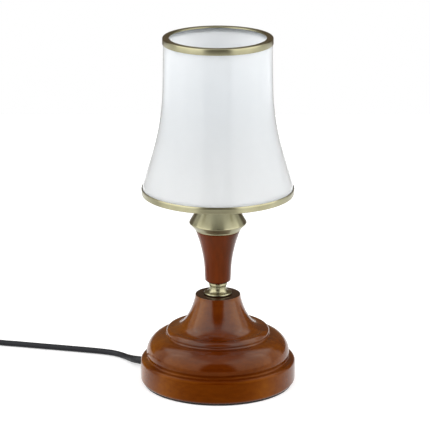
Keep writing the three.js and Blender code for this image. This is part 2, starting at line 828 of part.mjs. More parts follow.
function uprightRod(radius, fromZ, toZ, x, y) {
  return turned([[0, fromZ], [radius, fromZ], [radius, toZ], [0, toZ]], smallSegments).translate(x, y, 0);
}

function switchCordHole(height) {
  const reach = switchLength / 2 + cutOverrun;
  return rodAlongX(cordHoleRadius, -reach, reach).translate(0, 0, height);
}

function switchBase() {
  const recess = switchScrewHeadHeight + seatGap;
  const cuts = [
    boxBetween(switchPocketLength, switchPocketWidth, switchFloor, switchHalfHeight + cutOverrun),
    switchCordHole(switchCordHeight),
    ...switchScrewPlaces.flatMap(([x, y]) => [
      uprightRod(switchScrewHeadRadius + seatGap, -cutOverrun, recess, x, y),
      uprightRod(switchScrewRadius + seatGap, -cutOverrun, switchHalfHeight + cutOverrun, x, y),
    ]),
  ];
  return piece('switch_base', cutFrom(switchHalf(), cuts), 'blackPlastic');
}

function crossPin(radius, length) {
  return new THREE.CylinderGeometry(radius, radius, length, smallSegments);
}

// The rocker's ends stand above its middle by this much, so that one end lies level at rest
const rockerEndHeight = rockerCrown + (rockerLength / 2) * Math.tan(rockerTilt);
const rockerReach = (rockerLength / 2) * Math.cos(rockerTilt) + rockerEndHeight * Math.sin(rockerTilt);

function switchCover() {
  const windowWidth = rockerWidth + 2 * rockerPlay;
  const screwTop = switchScrewLength - coverZ + seatGap;
  const cuts = [
    boxBetween(switchPocketLength, windowWidth, -cutOverrun, wellDepth),
    boxBetween(2 * (rockerReach + rockerPlay), windowWidth, 0, switchHalfHeight + cutOverrun),
    switchCordHole(switchCordHeight - coverZ),
    crossPin(rockerPinRadius + seatGap, rockerPinLength + 2 * seatGap).translate(0, 0, pivotZ - coverZ),
    ...switchScrewPlaces.map(([x, y]) => uprightRod(
      switchScrewRadius + seatGap, -cutOverrun, screwTop, x, y)),
  ];
  return piece('switch_cover', cutFrom(switchHalf(), cuts), 'blackPlastic', 0, 0, coverZ);
}

function rocker() {
  const half = rockerLength / 2;
  const foot = half * rockerFootShare;
  const side = new THREE.Shape([
    new THREE.Vector2(-foot, -rockerDepth),
    new THREE.Vector2(foot, -rockerDepth),
    new THREE.Vector2(half, 0),
    new THREE.Vector2(half, rockerEndHeight),
    new THREE.Vector2(0, rockerCrown),
    new THREE.Vector2(-half, rockerEndHeight),
    new THREE.Vector2(-half, 0),
  ]);
  side.holes.push(new THREE.Path().absarc(0, 0, rockerPinRadius + seatGap, 0, 2 * Math.PI));
  const body = new THREE.ExtrudeGeometry(side, {
    depth: rockerWidth, bevelEnabled: false, curveSegments: smallSegments / 2,
  }).translate(0, 0, -rockerWidth / 2).rotateX(Math.PI / 2).rotateY(rockerTilt);
  return piece('switch_rocker', body, 'blackPlastic', 0, 0, pivotZ);
}

function switchScrew() {
  return turned([
    [0, 0],
    [switchScrewHeadRadius, 0],
    [switchScrewHeadRadius, switchScrewHeadHeight],
    [switchScrewRadius, switchScrewHeadHeight],
    [switchScrewRadius, switchScrewLength],
    [0, switchScrewLength],
  ], smallSegments);
}

// The cord's two ends inside the housing, each with the terminal that clamps its live wire
function switchInside() {
  const terminalZ = switchFloor + seatGap;
  const leadStart = switchPocketLength / 2;
  const leadEnd = switchLength / 2;
  return [
    piece('switch_lead_in', rodAlongX(cordRadius, leadStart, leadEnd),
      'cordSheath', 0, 0, switchCordHeight),
    piece('switch_lead_out', rodAlongX(cordRadius, -leadEnd, -leadStart),
      'cordSheath', 0, 0, switchCordHeight),
    piece('switch_terminal_in', boxBetween(terminalLength, terminalWidth, 0, terminalHeight),
      'brass', terminalSpacing / 2, 0, terminalZ),
    piece('switch_terminal_out', boxBetween(terminalLength, terminalWidth, 0, terminalHeight),
      'brass', -terminalSpacing / 2, 0, terminalZ),
    piece('switch_rocker_pin', crossPin(rockerPinRadius, rockerPinLength), 'steel', 0, 0, pivotZ),
  ];
}

function inlineSwitch() {
  const group = new THREE.Group();
  group.position.set(switchEntry[0] - switchLength / 2, switchEntry[1], 0);
  group.add(switchBase(), switchCover(), rocker(), ...switchInside());
  switchScrewPlaces.forEach(([x, y], i) => {
    group.add(piece(`switch_screw_${i + 1}`, switchScrew(), 'steel', x, y, 0));
  });
  return group;
}

// Free stretches of the cord. Each starts and ends straight, square to the face that it meets

function cordStretch(name, start, route, end) {
  const places = [...start, ...route.map(([x, y, z]) => new THREE.Vector3(x, y, z)), ...end];
  const curve = new THREE.CatmullRomCurve3(places, false, 'centripetal');
  const length = curve.getLength();
  const steps = Math.max(leastCordSteps, Math.round(length / (cordStepDiameters * cordDiameter)));
  return { mesh: piece(name, roundTube(curve, cordRadius, cordSides, steps), 'cordSheath'), length };
}

function alongGlandAxis(distance) {
  return new THREE.Vector3(distance * Math.cos(glandAngle), distance * Math.sin(glandAngle), glandHeight);
}

const straightEnd = cordRadius;
const glandMouth = glandOuterX + seatGap;
const entryFaceX = switchEntry[0] + seatGap;
const exitFaceX = switchEntry[0] - switchLength - seatGap;
const coilMouthX = coilCentreX + cordDiameter + seatGap;
const coilFootZ = tieThickness + seatGap + cordRadius;
const coilTopZ = coilFootZ + (coilLayers - 1) * coilPitch;
const plugFaceX = plugRearX - seatGap;
const plugAxisZ = plugThickness / 2;

const toSwitch = cordStretch(
  'cord_to_switch',
  [alongGlandAxis(glandMouth), alongGlandAxis(glandMouth + straightEnd)],
  cordToSwitchRoute,
  [
    new THREE.Vector3(entryFaceX + straightEnd, switchEntry[1], switchCordHeight),
    new THREE.Vector3(entryFaceX, switchEntry[1], switchCordHeight),
  ],
);

const toCoil = cordStretch(
  'cord_switch_to_coil',
  [
    new THREE.Vector3(exitFaceX, switchEntry[1], switchCordHeight),
    new THREE.Vector3(exitFaceX - straightEnd, switchEntry[1], switchCordHeight),
  ],
  switchToCoilRoute,
  [new THREE.Vector3(coilMouthX, switchEntry[1], coilFootZ)],
);

// Coil: its loops spiral in and out again in layers and use up the length that is left

const toPlugLength = Math.hypot(plugFaceX - coilMouthX, coilTopZ - plugAxisZ);
const coilEndsLength = 2 * cordDiameter;
const coilLength = cordLength - toSwitch.length - switchLength - toCoil.length - toPlugLength
  - coilEndsLength;
const turnsPerLayer = coilTurns / coilLayers;
const coilSpread = turnsPerLayer * coilPitch;
const coilMeanRadius = coilLength / (2 * Math.PI * coilTurns);
const coilOuterRadius = coilMeanRadius + coilSpread / 2;
const coilCentreY = switchEntry[1] - coilOuterRadius;
const plugAxisY = coilCentreY - coilOuterRadius;

const toPlug = cordStretch(
  'cord_coil_to_plug',
  [
    new THREE.Vector3(coilMouthX, plugAxisY, coilTopZ),
    new THREE.Vector3(coilMouthX + straightEnd, plugAxisY, coilTopZ),
  ],
  coilToPlugRoute,
  [
    new THREE.Vector3(plugFaceX - straightEnd, plugAxisY, plugAxisZ),
    new THREE.Vector3(plugFaceX, plugAxisY, plugAxisZ),
  ],
);

// A place on the coil's middle line after some turns, with the coil's centre as origin
function coilPlace(turns) {
  const layer = Math.min(Math.floor(turns / turnsPerLayer), coilLayers - 1);
  const share = turns / turnsPerLayer - layer;
  const inward = layer % 2 === 0 ? share : 1 - share;
  const radius = coilOuterRadius - coilSpread * inward;
  const angle = Math.PI / 2 + turns * 2 * Math.PI;
  let layersClimbed = 0;
  for (let reversal = 1; reversal < coilLayers; reversal += 1) {
    const start = reversal * turnsPerLayer - coilClimbTurns / 2;
    layersClimbed += THREE.MathUtils.smoothstep(turns, start, start + coilClimbTurns);
  }
  return new THREE.Vector3(
    radius * Math.cos(angle), radius * Math.sin(angle), coilFootZ + coilPitch * layersClimbed);
}

function coilPlaces() {
  const steps = Math.round(coilTurns * coilStepsPerTurn);
  const wound = evenShares(steps).map((share) => coilPlace(share * coilTurns));
  const outwards = new THREE.Vector3(cordDiameter, 0, 0);
  return [wound[0].clone().add(outwards), ...wound, wound[steps].clone().add(outwards)];
}

// The least free space between loops, measured between middle-line points half a turn or more apart
function leastCoilGap(places) {
  const apart = coilStepsPerTurn / 2;
  let least = Infinity;
  for (let i = 0; i < places.length; i += 1) {
    for (let j = i + apart; j < places.length; j += 1) {
      least = Math.min(least, places[i].distanceTo(places[j]));
    }
  }
  return least - cordDiameter;
}

// One unbroken tube with a ring of corners at each place and a flat cap at each end
function tubeThrough(places) {
  const last = places.length - 1;
  const up = new THREE.Vector3(0, 0, 1);
  const corners = places.flatMap((place, i) => {
    const along = places[Math.min(i + 1, last)].clone().sub(places[Math.max(i - 1, 0)]).normalize();
    const across = new THREE.Vector3().crossVectors(along, up).normalize();
    const upwards = new THREE.Vector3().crossVectors(across, along);
    return regularPolygon(cordRadius, coilSides).flatMap((corner) => place.clone()
      .addScaledVector(across, corner.x).addScaledVector(upwards, corner.y).toArray());
  });
  const faces = [];
  for (let ring = 0; ring < last; ring += 1) {
    for (let k = 0; k < coilSides; k += 1) {
      const next = (k + 1) % coilSides;
      const [a, b] = [ring * coilSides + k, ring * coilSides + next];
      const [c, d] = [a + coilSides, b + coilSides];
      faces.push(a, c, b, b, c, d);
    }
  }
  const lastRing = last * coilSides;
  for (let k = 1; k < coilSides - 1; k += 1) {
    faces.push(0, k, k + 1, lastRing, lastRing + k + 1, lastRing + k);
  }
  const geometry = new THREE.BufferGeometry();
  geometry.setAttribute('position', new THREE.BufferAttribute(new Float32Array(corners), 3));
  geometry.setIndex(faces);
  return geometry;
}

function traceRoundedBox(path, halfWidth, bottom, top, round) {
  path.moveTo(-halfWidth + round, bottom);
  path.lineTo(halfWidth - round, bottom);
  path.quadraticCurveTo(halfWidth, bottom, halfWidth, bottom + round);
  path.lineTo(halfWidth, top - round);
  path.quadraticCurveTo(halfWidth, top, halfWidth - round, top);
  path.lineTo(-halfWidth + round, top);
  path.quadraticCurveTo(-halfWidth, top, -halfWidth, top - round);
  path.lineTo(-halfWidth, bottom + round);
  path.quadraticCurveTo(-halfWidth, bottom, -halfWidth + round, bottom);
  return path;
}

// A band with round corners, closed round all loops on one side of the coil
function tie() {
  const halfWidth = coilSpread / 2 + cordRadius + seatGap + tieThickness;
  const top = coilTopZ + cordRadius + seatGap + tieThickness;
  const shape = traceRoundedBox(new THREE.Shape(), halfWidth, 0, top, tieCornerRadius);
  shape.holes.push(traceRoundedBox(new THREE.Path(), halfWidth - tieThickness,
    tieThickness, top - tieThickness, tieCornerRadius - tieThickness));
  const band = new THREE.ExtrudeGeometry(shape, { depth: tieWidth, bevelEnabled: false, curveSegments: 4 })
    .translate(0, 0, -tieWidth / 2).rotateX(Math.PI / 2);
  return piece('cord_tie', band, 'tieStrap', coilMeanRadius, 0, 0);
}

function tiedCoil() {
  const places = coilPlaces();
  console.log(`cord coil: least gap to itself ${leastCoilGap(places).toFixed(2)} mm, `
    + `centre at y ${coilCentreY.toFixed(2)} mm, mean radius ${coilMeanRadius.toFixed(2)} mm`);
  const group = new THREE.Group();
  group.position.set(coilCentreX, coilCentreY, 0);
  group.add(piece('cord_coil', tubeThrough(places), 'cordSheath'), tie());
  return group;
}

// Mains plug, in a group with +X towards its pins and the middle of its rear face at the origin

function plugBody() {
  const [rear, front] = [plugSleeveLength, plugLength - plugBevel];
  const shoulder = rear + plugShoulderLength;
  const [narrow, wide] = [plugSleeveRadius - plugBevel, plugWidth / 2 - plugBevel];
  const outline = new THREE.Shape([
    new THREE.Vector2(rear, -narrow),
    new THREE.Vector2(shoulder, -wide),
    new THREE.Vector2(front, -wide),
    new THREE.Vector2(front, wide),
    new THREE.Vector2(shoulder, wide),
    new THREE.Vector2(rear, narrow),
  ]);
  const housing = new THREE.ExtrudeGeometry(outline, {
    depth: plugThickness - 2 * plugBevel,
    bevelThickness: plugBevel,
    bevelSize: plugBevel,
    bevelSegments: 2,
  }).translate(0, 0, plugBevel - plugAxisZ);
  const sleeve = turnedAlongX([
    [0, 0],
    [cordRadius + plugSleeveWall, 0],
    [plugSleeveRadius, plugSleeveLength],
    [plugSleeveRadius, plugSleeveLength + plugBevel],
    [0, plugSleeveLength + plugBevel],
  ], smallSegments);
  const pinHoles = [-1, 1].map((side) => rodAlongX(
    plugPinRadius + seatGap, plugLength - plugPinSeat, plugLength + cutOverrun)
    .translate(0, (side * plugPinSpacing) / 2, 0));
  const whole = geometryOf(solidOf(housing).add(solidOf(sleeve)));
  return piece('plug_body', cutFrom(whole, pinHoles), 'blackPlastic');
}

function plugPin(name, side) {
  const start = plugLength - plugPinSeat + seatGap;
  const end = plugLength + plugPinLength;
  const pin = turnedAlongX([
    [0, start],
    [plugPinRadius, start],
    [plugPinRadius, end - plugPinRadius / 2],
    [plugPinRadius / 2, end],
    [0, end],
  ], smallSegments);
  return piece(name, pin, 'brass', 0, (side * plugPinSpacing) / 2, 0);
}

function plug() {
  const group = new THREE.Group();
  group.position.set(plugRearX, plugAxisY, plugAxisZ);
  group.add(plugBody(), plugPin('plug_pin_1', -1), plugPin('plug_pin_2', 1));
  return group;
}

// The whole lamp
const lamp = new THREE.Group();
lamp.name = 'antique_table_lamp';
lamp.add(pad(), baseBody(), ...clampedStack());
lamp.add(neck(), stem(), cup());
lamp.add(holderCap(), holderSleeve(), ...holderInside());
lamp.add(...bulbMetal(), bulbGlass());
lamp.add(shadeNut(), spider(), bottomRing(), shadeGlass(), topRing());
lamp.add(cordEntry(), toSwitch.mesh, inlineSwitch(), toCoil.mesh, tiedCoil(), toPlug.mesh, plug());

export default lamp;
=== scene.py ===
import math

import bmesh
import bpy
from mathutils import Matrix, Vector


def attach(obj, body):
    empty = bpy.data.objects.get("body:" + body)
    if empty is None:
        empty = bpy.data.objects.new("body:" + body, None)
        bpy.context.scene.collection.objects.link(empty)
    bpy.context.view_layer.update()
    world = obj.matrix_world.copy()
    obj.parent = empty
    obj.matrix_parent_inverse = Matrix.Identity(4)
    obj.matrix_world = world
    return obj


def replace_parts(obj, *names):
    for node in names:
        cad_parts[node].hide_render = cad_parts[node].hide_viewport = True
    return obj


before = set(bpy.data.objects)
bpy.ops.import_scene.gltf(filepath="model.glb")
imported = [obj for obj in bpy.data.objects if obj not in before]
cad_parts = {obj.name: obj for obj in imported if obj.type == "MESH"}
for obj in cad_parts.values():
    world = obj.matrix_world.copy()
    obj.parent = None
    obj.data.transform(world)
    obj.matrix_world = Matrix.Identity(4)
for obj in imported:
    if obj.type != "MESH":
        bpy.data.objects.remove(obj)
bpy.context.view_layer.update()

# Camera
# A long lens looks slightly down on the lamp from straight in front of it. The picture is square.
camera = bpy.data.objects.new("camera", bpy.data.cameras.new("camera"))
bpy.context.scene.collection.objects.link(camera)
bpy.context.scene.camera = camera
camera.location = (0, -2.450, 0.883)
looks_at = Vector((0, 0, 0.166))
camera.rotation_euler = (looks_at - camera.location).to_track_quat("-Z", "Y").to_euler()
camera.data.sensor_width = 36
camera.data.lens = 224.4
camera.data.shift_x = -0.00674
camera.data.shift_y = 0.00186

# Mains cord
# A round black two-core cord, 5.8 mm thick. It leaves the base low down, lies on the table and runs to
# the inline switch. Behind the switch it is wound into a coil, and from there it goes on to the plug.
cord_diameter = 0.0058
gland_angle = math.radians(152)
gland_height = 0.0062


def coloured(red, green, blue):
    """A colour as it looks on screen (sRGB, from 0 to 255) as the renderer's linear numbers."""
    return [((c / 255 + 0.055) / 1.055) ** 2.4 if c > 10 else c / 255 / 12.92
            for c in (red, green, blue)]


def surface_of(name, roughness, metallic=0.0):
    """A new material, with its nodes, its links and its surface shader."""
    material = bpy.data.materials.new(name)
    material.use_nodes = True
    tree = material.node_tree
    surface = tree.nodes["Principled BSDF"]
    surface.inputs["Roughness"].default_value = roughness
    surface.inputs["Metallic"].default_value = metallic
    return material, tree.nodes, tree.links, surface


def pattern_on(nodes, links, scale, detail=4.0, stretch=(1, 1, 1), offset=(0, 0, 0)):
    """Noise on the piece's own coordinates. It is drawn out along an axis whose stretch is small."""
    coordinates = nodes.new("ShaderNodeTexCoord")
    mapping = nodes.new("ShaderNodeMapping")
    mapping.inputs["Scale"].default_value = stretch
    mapping.inputs["Location"].default_value = offset
    noise = nodes.new("ShaderNodeTexNoise")
    noise.inputs["Scale"].default_value = scale
    noise.inputs["Detail"].default_value = detail
    links.new(coordinates.outputs["Object"], mapping.inputs["Vector"])
    links.new(mapping.outputs["Vector"], noise.inputs["Vector"])
    return noise


def tinted(nodes, links, pattern, surface, stops):
    """The pattern as colours, from a list of (place on the ramp, colour on screen)."""
    ramp = nodes.new("ShaderNodeValToRGB")
    while len(ramp.color_ramp.elements) < len(stops):
        ramp.color_ramp.elements.new(0.5)
    for element, (place, colour) in zip(ramp.color_ramp.elements, stops):
        element.position = place
        element.color = (*coloured(*colour), 1)
    links.new(pattern.outputs[0], ramp.inputs["Fac"])
    links.new(ramp.outputs["Color"], surface.inputs["Base Color"])


def roughened(nodes, links, noise, surface, low, high):
    """The noise as a change in roughness between low and high."""
    spread = nodes.new("ShaderNodeMapRange")
    spread.inputs["To Min"].default_value = low
    spread.inputs["To Max"].default_value = high
    links.new(noise.outputs["Fac"], spread.inputs["Value"])
    links.new(spread.outputs["Result"], surface.inputs["Roughness"])


def embossed(nodes, links, noise, surface, strength, depth):
    """The noise as a fine relief, too shallow to be modelled."""
    bump = nodes.new("ShaderNodeBump")
    bump.inputs["Strength"].default_value = strength
    bump.inputs["Distance"].default_value = depth
    links.new(noise.outputs["Fac"], bump.inputs["Height"])
    links.new(bump.outputs["Normal"], surface.inputs["Normal"])


def moulded(name, dark, light, rough, grain=900, strength=0.25, gloss=0.5):
    """A moulded plastic: two similar tones, a fine even grain and a little change in its gloss."""
    material, nodes, links, surface = surface_of(name, rough)
    surface.inputs["Specular IOR Level"].default_value = gloss
    cloudy = pattern_on(nodes, links, scale=60)
    tinted(nodes, links, cloudy, surface, [(0.3, dark), (0.7, light)])
    roughened(nodes, links, cloudy, surface, rough * 0.85, rough * 1.2)
    fine = pattern_on(nodes, links, grain, detail=2.0)
    embossed(nodes, links, fine, surface, strength, depth=0.0002)
    return material


def added(name, data, material, body="lamp"):
    """A new piece from a mesh or curve, on its body and with its finish."""
    piece = bpy.data.objects.new(name, data)
    bpy.context.scene.collection.objects.link(piece)
    data.materials.append(material)
    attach(piece, body)
    return piece


def flexible(name, points, radii, material):
    """A round curve through points, as thick at each point as its radius there."""
    curve = bpy.data.curves.new(name, "CURVE")
    curve.dimensions = "3D"
    curve.bevel_depth = 1
    curve.bevel_resolution = 5
    curve.resolution_u = 6
    curve.use_fill_caps = True
    spline = curve.splines.new("BEZIER")
    spline.bezier_points.add(len(points) - 1)
    for knot, place, radius in zip(spline.bezier_points, points, radii):
        knot.co = place
        knot.radius = radius
        knot.handle_left_type = knot.handle_right_type = "AUTO"
    return added(name, curve, material)


def on_gland_axis(distance):
    """A place on the line on which the cord leaves the base, so far from the lamp's axis."""
    return (distance * math.cos(gland_angle), distance * math.sin(gland_angle), gland_height)


sheath = moulded("cord sheath", (13, 14, 19), (20, 21, 27),
                 rough=0.45, grain=1400, strength=0.15, gloss=0.25)

lamp_side = [
    on_gland_axis(0.0830), on_gland_axis(0.0853), on_gland_axis(0.0882),
    (-0.0829, 0.0466, 0.0050), (-0.0886, 0.0552, 0.0039), (-0.0946, 0.0636, 0.0032),
    (-0.1008, 0.0693, 0.0030), (-0.1069, 0.0728, 0.0030), (-0.1130, 0.0752, 0.0030),
    (-0.1251, 0.0789, 0.0030), (-0.1400, 0.0829, 0.0030), (-0.1575, 0.0874, 0.0030),
    (-0.1800, 0.0931, 0.0030), (-0.2000, 0.0983, 0.0030), (-0.2188, 0.1028, 0.0031),
    (-0.2310, 0.1053, 0.0041), (-0.2400, 0.1063, 0.0059), (-0.2470, 0.1065, 0.0069),
    (-0.2500, 0.1065, 0.0070), (-0.2640, 0.1065, 0.0070),
]
cord_lamp_side = flexible("cord_lamp_side", lamp_side, [cord_diameter / 2] * len(lamp_side),
                          sheath)
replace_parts(cord_lamp_side, "cord_to_switch", "switch_lead_in")

coil_turns, coil_layers, coil_pitch = 6.5, 4, 0.0063
coil_middle = Vector((-0.378, 0.06683, 0.0040))
coil_radius = 0.03967
coil_spread = coil_turns / coil_layers * coil_pitch
half_a_climb = 0.25
knots_per_turn = 24


def on_coil(turns):
    """A place on the cord after some turns. It spirals in and out and climbs a layer each time."""
    layer = min(int(turns / coil_turns * coil_layers), coil_layers - 1)
    share = turns / coil_turns * coil_layers - layer
    radius = coil_radius - coil_spread * (share if layer % 2 == 0 else 1 - share)
    angle = math.pi / 2 + turns * 2 * math.pi
    climbed = 0
    for reversal in range(1, coil_layers):
        rise = turns - (reversal * coil_turns / coil_layers - half_a_climb)
        rise = min(max(rise / (2 * half_a_climb), 0), 1)
        climbed += rise * rise * (3 - 2 * rise)
    return coil_middle + Vector((radius * math.cos(angle), radius * math.sin(angle),
                                 coil_pitch * climbed))


wound = [on_coil(i / knots_per_turn) for i in range(int(coil_turns * knots_per_turn) + 1)]
plug_side = [
    (-0.2980, 0.1065, 0.0070), (-0.3120, 0.1065, 0.0070), (-0.3150, 0.1065, 0.0069),
    (-0.3230, 0.1065, 0.0066), (-0.3360, 0.1065, 0.0054), (-0.3500, 0.1065, 0.0042),
    (-0.3620, 0.1065, 0.0040), (-0.3719, 0.1065, 0.0040),
    *wound,
    (-0.3719, 0.02716, 0.0229), (-0.3690, 0.02716, 0.0229), (-0.3610, 0.0271, 0.0216),
    (-0.3490, 0.0271, 0.0176), (-0.3360, 0.0271, 0.0114), (-0.3240, 0.0271, 0.0078),
    (-0.3152, 0.02716, 0.00685), (-0.3100, 0.02716, 0.00685),
]
cord_plug_side = flexible("cord_plug_side", plug_side, [cord_diameter / 2] * len(plug_side),
                          sheath)
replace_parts(cord_plug_side,
            "switch_lead_out", "cord_switch_to_coil", "cord_coil", "cord_coil_to_plug")

# Pad under the base
# A disc of dark felt, glued under the foot. Only its edge shows, as a thin dark line on the table.
merge_distance = 1e-6


def eased(bm, width, sharper_than, segments):
    """Rounds all edges of a closed skin that are sharper than so many degrees."""
    hard = [e for e in bm.edges
            if e.is_manifold and e.calc_face_angle() > math.radians(sharper_than)]
    bmesh.ops.bevel(bm, geom=hard, offset=width, offset_type="OFFSET", affect="EDGES",
                    segments=segments, profile=0.5, clamp_overlap=True, material=-1)


def turned(name, outline, material, steps=144, easing=0.0003, place=None):
    """A closed solid spun about +Z from [radius, height] points in millimetres, with eased edges."""
    bm = bmesh.new()
    points = [bm.verts.new((radius / 1000, 0, height / 1000)) for radius, height in outline]
    for i, point in enumerate(points):
        if outline[i][0] > 0 or outline[i - 1][0] > 0:
            bm.edges.new((points[i - 1], point))
    bmesh.ops.spin(bm, geom=bm.verts[:] + bm.edges[:], cent=(0, 0, 0), axis=(0, 0, 1),
                   angle=2 * math.pi, steps=steps, use_merge=True)
    bmesh.ops.remove_doubles(bm, verts=bm.verts, dist=merge_distance)
    if easing:
        eased(bm, easing, sharper_than=32, segments=2)
    bmesh.ops.recalc_face_normals(bm, faces=bm.faces)
    if place is not None:
        bmesh.ops.transform(bm, matrix=place, verts=bm.verts)
    return smooth_piece(name, bm, material)


def smooth_piece(name, bm, material, body="lamp"):
    """The finished bmesh as a smoothly shaded piece that keeps its hard edges."""
    smooth_below = math.radians(38)
    for face in bm.faces:
        face.smooth = True
    for edge in bm.edges:
        edge.smooth = edge.is_manifold and edge.calc_face_angle() < smooth_below
    mesh = bpy.data.meshes.new(name)
    bm.to_mesh(mesh)
    bm.free()
    return added(name, mesh, material, body)


felt, nodes, links, surface = surface_of("felt", roughness=0.95)
fibres = pattern_on(nodes, links, scale=700)
tinted(nodes, links, fibres, surface, [(0.35, (26, 22, 20)), (0.7, (48, 42, 38))])
embossed(nodes, links, fibres, surface, strength=0.6, depth=0.0005)
surface.inputs["Sheen Weight"].default_value = 0.3

foot_pad = turned("foot_pad", [(0, 0), (71.8, 0), (71.8, 1.5), (0, 1.5)], felt)
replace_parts(foot_pad, "felt_pad")

# Turned base
# One block of hardwood turned on the lathe: a drum with round edges, a groove, a large round moulding,
# a bead, and a hollow cone with a flat top. It has a reddish brown stain and a clear gloss lacquer.
# Painted shade darkens it in front and behind and on the flat top, and a painted reflection tints
# the lacquer's gloss warm on the drum and grey above it.


def arc(middle, height, across, up, start, end, steps):
    """Points on part of an ellipse, from one angle to another in degrees."""
    angles = [math.radians(start + (end - start) * i / steps) for i in range(steps + 1)]
    return [(middle + across * math.cos(a), height + up * math.sin(a)) for a in angles]


def flowing(points, steps=4):
    """A smooth line through the points."""
    ends = [points[0], *points, points[-1]]
    line = []
    for four in zip(ends, ends[1:], ends[2:], ends[3:]):
        for i in range(steps):
            t = i / steps
            line.append(tuple(
                0.5 * (2 * b + (c - a) * t + (2 * a - 5 * b + 4 * c - d) * t ** 2
                       + (3 * b - a - 3 * c + d) * t ** 3)
                for a, b, c, d in zip(*four)))
    return line + [points[-1]]


def lacquered_wood(name, stretch, stops):
    """Stained wood under lacquer. The fibres run along the axis whose stretch is small."""
    material, nodes, links, surface = surface_of(name, roughness=0.16)
    figure = pattern_on(nodes, links, scale=15, detail=2.0, stretch=stretch, offset=(0, 0, 0.47))
    figure.inputs["Distortion"].default_value = 0.4
    fibre = pattern_on(nodes, links, scale=260, detail=3.0, stretch=stretch)
    both = nodes.new("ShaderNodeMix")
    both.inputs["Factor"].default_value = 0.22
    links.new(figure.outputs["Fac"], both.inputs["A"])
    links.new(fibre.outputs["Fac"], both.inputs["B"])
    tinted(nodes, links, both, surface, stops)
    embossed(nodes, links, fibre, surface, strength=0.06, depth=0.0002)
    surface.inputs["Specular IOR Level"].default_value = 0.33
    surface.inputs["Specular Tint"].default_value = (1.0, 0.52, 0.2, 1)
    return material, nodes, links, surface


def calculated(nodes, operation, second=None):
    """A maths node. Its second number is given here where it stays the same."""
    maths = nodes.new("ShaderNodeMath")
    maths.operation = operation
    if second is not None:
        maths.inputs[1].default_value = second
    return maths


def soft_step(nodes, start, end):
    """0 up to start, 1 from end on, and a soft change between them."""
    step = nodes.new("ShaderNodeMapRange")
    step.interpolation_type = "SMOOTHSTEP"
    step.inputs["From Min"].default_value = start
    step.inputs["From Max"].default_value = end
    return step


def colours_mixed(nodes, links, amount, first, second, blend="MIX"):
    """Two colours mixed by an amount. Each is a colour or another node's output."""
    mix = nodes.new("ShaderNodeMix")
    mix.data_type = "RGBA"
    mix.blend_type = blend
    links.new(amount, mix.inputs["Factor"])
    for socket, colour in (("A", first), ("B", second)):
        if isinstance(colour, bpy.types.NodeSocket):
            links.new(colour, mix.inputs[socket])
        else:
            mix.inputs[socket].default_value = (*colour, 1)
    return mix.outputs["Result"]


base_wood, nodes, links, surface = lacquered_wood("base wood", (0.3, 1, 1), [
    (0.34, (80, 32, 0)), (0.45, (97, 46, 2)), (0.56, (112, 59, 5)), (0.67, (132, 77, 12))])
place = nodes.new("ShaderNodeTexCoord")
height = nodes.new("ShaderNodeSeparateXYZ")
links.new(place.outputs["Object"], height.inputs["Vector"])

# Painted shade: the colour is darker where the way out from the axis points to the front or the back
# (1), away from the side lights, and not where it points to the side (0)
side_light_up_to, front_shade_from = 0.72, 0.99
level = nodes.new("ShaderNodeVectorMath")
level.operation = "MULTIPLY"
level.inputs[1].default_value = (1, 1, 0)
outwards = nodes.new("ShaderNodeVectorMath")
outwards.operation = "NORMALIZE"
way_out = nodes.new("ShaderNodeSeparateXYZ")
frontness = calculated(nodes, "ABSOLUTE")
painted_shade = soft_step(nodes, side_light_up_to, front_shade_from)
links.new(place.outputs["Object"], level.inputs[0])
links.new(level.outputs["Vector"], outwards.inputs[0])
links.new(outwards.outputs["Vector"], way_out.inputs["Vector"])
links.new(way_out.outputs["Y"], frontness.inputs[0])
links.new(frontness.outputs["Value"], painted_shade.inputs["Value"])
stain_and_shade = colours_mixed(nodes, links, painted_shade.outputs["Result"],
                        nodes["Color Ramp"].outputs["Color"], (0.62, 0.42, 0.2), "MULTIPLY")

# Painted shade makes the flat top dark, and a painted reflection tints the gloss warm on the drum
# and greyer above it
flat_top_height = 0.0882
warm_reflection_up_to, grey_reflection_from = 0.022, 0.054
shaded_top = calculated(nodes, "GREATER_THAN", flat_top_height)
above_drum = soft_step(nodes, warm_reflection_up_to, grey_reflection_from)
links.new(height.outputs["Z"], shaded_top.inputs[0])
links.new(height.outputs["Z"], above_drum.inputs["Value"])
links.new(colours_mixed(nodes, links, shaded_top.outputs["Value"], stain_and_shade, coloured(48, 24, 8)),
          surface.inputs["Base Color"])
# Painted reflection: the gloss is tinted warm on the drum and grey above it
links.new(colours_mixed(nodes, links, above_drum.outputs["Result"],
                        (0.9, 0.32, 0.03), (0.72, 0.84, 0.78)),
          surface.inputs["Specular Tint"])

base_outline = [
    (52.0, 1.8), (71.8, 1.8),
    *arc(71.2, 5.1, 3.3, 3.3, -75, 0, 8),
    *arc(71.0, 21.5, 3.5, 3.2, 0, 88, 10),
    (69.4, 24.85), (68.5, 25.2), (68.05, 25.8), (68.0, 26.6), (68.2, 27.6), (68.5, 28.8),
    *arc(50.5, 30.0, 18.2, 18.0, 0, 88, 24),
    (50.3, 48.2), (49.9, 48.7),
    *arc(45.6, 50.7, 4.1, 4.1, -20, 84, 12),
    *flowing([(44.6, 54.8), (42.0, 55.1), (38.5, 56.3), (35.2, 58.7), (32.2, 62.0), (29.4, 66.2),
              (26.9, 70.8), (24.8, 75.8), (23.1, 80.8), (22.0, 85.2), (21.6, 88.1)]),
    (21.3, 88.4), (5.3, 88.4), (5.3, 33.8), (52.0, 33.8),
]
turned_base = turned("turned_base", base_outline, base_wood, steps=192)
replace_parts(turned_base, "base_body")

# Ballast disc, lamp pipe, washers and nuts
# A cast-iron disc in the foot keeps the lamp steady. One threaded steel pipe runs from it to the
# lampholder, and two nuts on it clamp the disc, the base, the neck, the stem and the cup together.


def finished(material, *nodes):
    """The material on CAD nodes that keep their own shape."""
    for node in nodes:
        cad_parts[node].data.materials.clear()
        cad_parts[node].data.materials.append(material)


